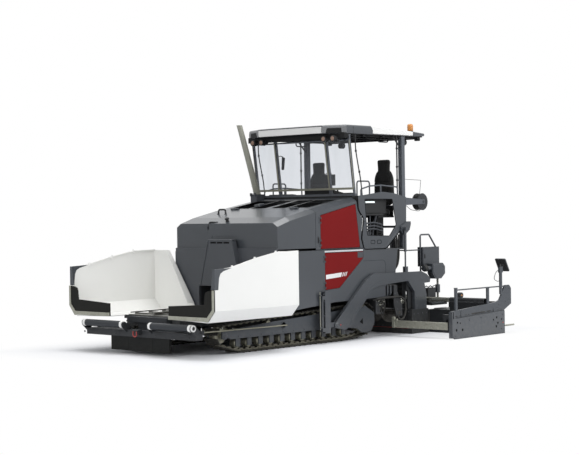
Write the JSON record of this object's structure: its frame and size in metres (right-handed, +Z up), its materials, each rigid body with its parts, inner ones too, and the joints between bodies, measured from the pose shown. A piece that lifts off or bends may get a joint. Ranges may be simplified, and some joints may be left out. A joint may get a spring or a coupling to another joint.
{
  "type": "tracked asphalt paver",
  "caption": "Tracked asphalt paver with folding hopper wings, tilting engine hood, canopied operator platform, augers and telescopic screed on towing arms.",
  "frame": {"origin": "on the ground, under the middle of the machine's overall box with the screed extended", "axes": "+X to the machine's left, +Y to its rear, where the screed is, +Z up"},
  "size_m": [5.18, 6.92, 3.82],
  "materials": {
    "bare_steel": "worn steel",
    "beacon_amber": "amber lens",
    "body_grey": "slate grey enamel, satin",
    "chrome": "polished rods and tubes",
    "console_plastic": "console plastic",
    "dark_steel": "black enamel",
    "glass": "tinted screen",
    "hook_red": "red shackle",
    "hopper_white": "white enamel, satin",
    "lamp_black": "lamp housings",
    "panel_red": "dark red enamel, satin",
    "rubber": "black rubber",
    "seat_fabric": "dark seat cover",
    "stack_grey": "light grey heat-proof paint",
    "track_steel": "worked black steel"
  },
  "bodies": {
    "tractor": {"chassis": "dark_steel", "engine_block": "dark_steel", "conveyors": "bare_steel", "hopper_bulkhead": "dark_steel", "fixed_hood": "body_grey", "side_panels": "body_grey", "track_left": "track_steel", "track_right": "track_steel", "track_frames": "dark_steel", "track_wheels": "track_steel", "push_beam": "dark_steel", "tow_shackle": "hook_red", "platform_floor": "body_grey", "platform_sides": "body_grey", "platform_rails": "body_grey", "dashboard": "console_plastic", "seat_bases": "dark_steel", "seat_cushions": "seat_fabric", "seat_backs": "seat_fabric", "canopy": "hopper_white", "canopy_posts": "body_grey", "windscreen": "glass", "beacon": "beacon_amber", "work_lights": "lamp_black", "exhaust_base": "stack_grey", "levelling_guides": "body_grey", "tow_sliders": "dark_steel", "auger_beam": "dark_steel"},
    "hood": {"tilting_hood": "body_grey"},
    "exhaust": {"exhaust_stack": "stack_grey"},
    "reel": {"hose_reel": "body_grey"},
    "console": {"operator_console": "console_plastic"},
    "screed": {"tow_arms": "body_grey", "screed_main": "dark_steel", "screed_cabinets": "body_grey", "depth_screws": "body_grey"},
    "wing_left": {"hopper_wing_left": "hopper_white", "hopper_flap_left": "rubber"},
    "push_roller_left": {"push_roller_left": "bare_steel"},
    "engine_door_left": {"engine_door_left": "panel_red"},
    "service_door_left": {"service_door_left": "panel_red"},
    "auger_left": {"auger_left": "track_steel"},
    "extension_left": {"screed_extension_left": "body_grey", "gate_screen_left": "console_plastic"},
    "tube_left": {"guide_tube_left": "chrome"},
    "gate_left": {"end_gate_left": "body_grey"},
    "lift_barrel_left": {"lift_cylinder_left": "body_grey"},
    "lift_piston_left": {"lift_rod_left": "chrome"},
    "wing_right": {"hopper_wing_right": "hopper_white", "hopper_flap_right": "rubber"},
    "push_roller_right": {"push_roller_right": "bare_steel"},
    "engine_door_right": {"engine_door_right": "panel_red"},
    "service_door_right": {"service_door_right": "panel_red"},
    "auger_right": {"auger_right": "track_steel"},
    "extension_right": {"screed_extension_right": "body_grey", "gate_screen_right": "console_plastic"},
    "tube_right": {"guide_tube_right": "chrome"},
    "gate_right": {"end_gate_right": "body_grey"},
    "lift_barrel_right": {"lift_cylinder_right": "body_grey"},
    "lift_piston_right": {"lift_rod_right": "chrome"}
  },
  "joints": [
    {"name": "hood_tilt", "type": "hinge", "parent": "tractor", "child": "hood", "pos_m": [0, -0.417, 2.304], "axis": [-1, 0, 0], "range_deg": [0, 45]},
    {"name": "exhaust_fold", "type": "hinge", "parent": "tractor", "child": "exhaust", "pos_m": [-1, 0.37, 2.575], "axis": [-1, 0, 0], "range_deg": [-75, 0]},
    {"name": "reel_spin", "type": "hinge", "parent": "tractor", "child": "reel", "pos_m": [1.037, 2.7, 2.39], "axis": [1, 0, 0], "continuous": true},
    {"name": "console_shift", "type": "slide", "parent": "tractor", "child": "console", "axis": [1, 0, 0], "range_m": [-0.4, 0.4]},
    {"name": "screed_lift", "type": "hinge", "parent": "tractor", "child": "screed", "pos_m": [0, 0.02, 0.31], "axis": [-1, 0, 0], "range_deg": [-8, 0]},
    {"name": "wing_fold_left", "type": "hinge", "parent": "tractor", "child": "wing_left", "pos_m": [0.655, -2.2, 0.572], "axis": [0, 1, 0], "range_deg": [-48, 0]},
    {"name": "push_roller_spin_left", "type": "hinge", "parent": "tractor", "child": "push_roller_left", "pos_m": [0.783, -3.403, 0.478], "axis": [1, 0, 0], "continuous": true},
    {"name": "engine_door_hinge_left", "type": "hinge", "parent": "tractor", "child": "engine_door_left", "pos_m": [1.1943, -0.2885, 1.9], "axis": [0, 0, -1], "range_deg": [0, 100]},
    {"name": "service_door_hinge_left", "type": "hinge", "parent": "tractor", "child": "service_door_left", "pos_m": [1.2063, -0.1985, 1.2], "axis": [0, 0, -1], "range_deg": [0, 100]},
    {"name": "auger_spin_left", "type": "hinge", "parent": "tractor", "child": "auger_left", "pos_m": [0.6, 1.86, 0.4], "axis": [1, 0, 0], "continuous": true},
    {"name": "extension_slide_left", "type": "slide", "parent": "screed", "child": "extension_left", "axis": [1, 0, 0], "range_m": [-1.215, 0]},
    {"name": "guide_tube_slide_left", "type": "slide", "parent": "screed", "child": "tube_left", "axis": [1, 0, 0], "range_m": [-0.6075, 0]},
    {"name": "gate_slide_left", "type": "slide", "parent": "extension_left", "child": "gate_left", "axis": [0, 0, 1], "range_m": [0, 0.15]},
    {"name": "lift_pivot_left", "type": "hinge", "parent": "tractor", "child": "lift_barrel_left", "pos_m": [1.2375, 1.98, 1.9], "axis": [1, 0, 0], "range_deg": [-16.14, 0]},
    {"name": "lift_stroke_left", "type": "slide", "parent": "lift_barrel_left", "child": "lift_piston_left", "axis": [0, -0.007, -1], "range_m": [-0.2489, 0]},
    {"name": "wing_fold_right", "type": "hinge", "parent": "tractor", "child": "wing_right", "pos_m": [-0.655, -2.2, 0.572], "axis": [0, -1, 0], "range_deg": [-48, 0]},
    {"name": "push_roller_spin_right", "type": "hinge", "parent": "tractor", "child": "push_roller_right", "pos_m": [-0.783, -3.403, 0.478], "axis": [1, 0, 0], "continuous": true},
    {"name": "engine_door_hinge_right", "type": "hinge", "parent": "tractor", "child": "engine_door_right", "pos_m": [-1.1943, -0.2885, 1.9], "axis": [0, 0, 1], "range_deg": [0, 100]},
    {"name": "service_door_hinge_right", "type": "hinge", "parent": "tractor", "child": "service_door_right", "pos_m": [-1.2063, -0.1985, 1.2], "axis": [0, 0, 1], "range_deg": [0, 100]},
    {"name": "auger_spin_right", "type": "hinge", "parent": "tractor", "child": "auger_right", "pos_m": [-0.6, 1.86, 0.4], "axis": [1, 0, 0], "continuous": true},
    {"name": "extension_slide_right", "type": "slide", "parent": "screed", "child": "extension_right", "axis": [-1, 0, 0], "range_m": [-1.215, 0]},
    {"name": "guide_tube_slide_right", "type": "slide", "parent": "screed", "child": "tube_right", "axis": [-1, 0, 0], "range_m": [-0.6075, 0]},
    {"name": "gate_slide_right", "type": "slide", "parent": "extension_right", "child": "gate_right", "axis": [0, 0, 1], "range_m": [0, 0.15]},
    {"name": "lift_pivot_right", "type": "hinge", "parent": "tractor", "child": "lift_barrel_right", "pos_m": [-1.2375, 1.98, 1.9], "axis": [1, 0, 0], "range_deg": [-16.14, 0]},
    {"name": "lift_stroke_right", "type": "slide", "parent": "lift_barrel_right", "child": "lift_piston_right", "axis": [0, -0.007, -1], "range_m": [-0.2489, 0]}
  ],
  "couplings": [
    {"joint": "guide_tube_slide_left", "follows": "extension_slide_left", "ratio": 0.5},
    {"joint": "lift_pivot_left", "follows": "screed_lift", "ratio": 1.9927},
    {"joint": "lift_stroke_left", "follows": "screed_lift", "m_per_rad": 1.7609},
    {"joint": "guide_tube_slide_right", "follows": "extension_slide_right", "ratio": 0.5},
    {"joint": "lift_pivot_right", "follows": "screed_lift", "ratio": 1.9927},
    {"joint": "lift_stroke_right", "follows": "screed_lift", "m_per_rad": 1.7609}
  ]
}
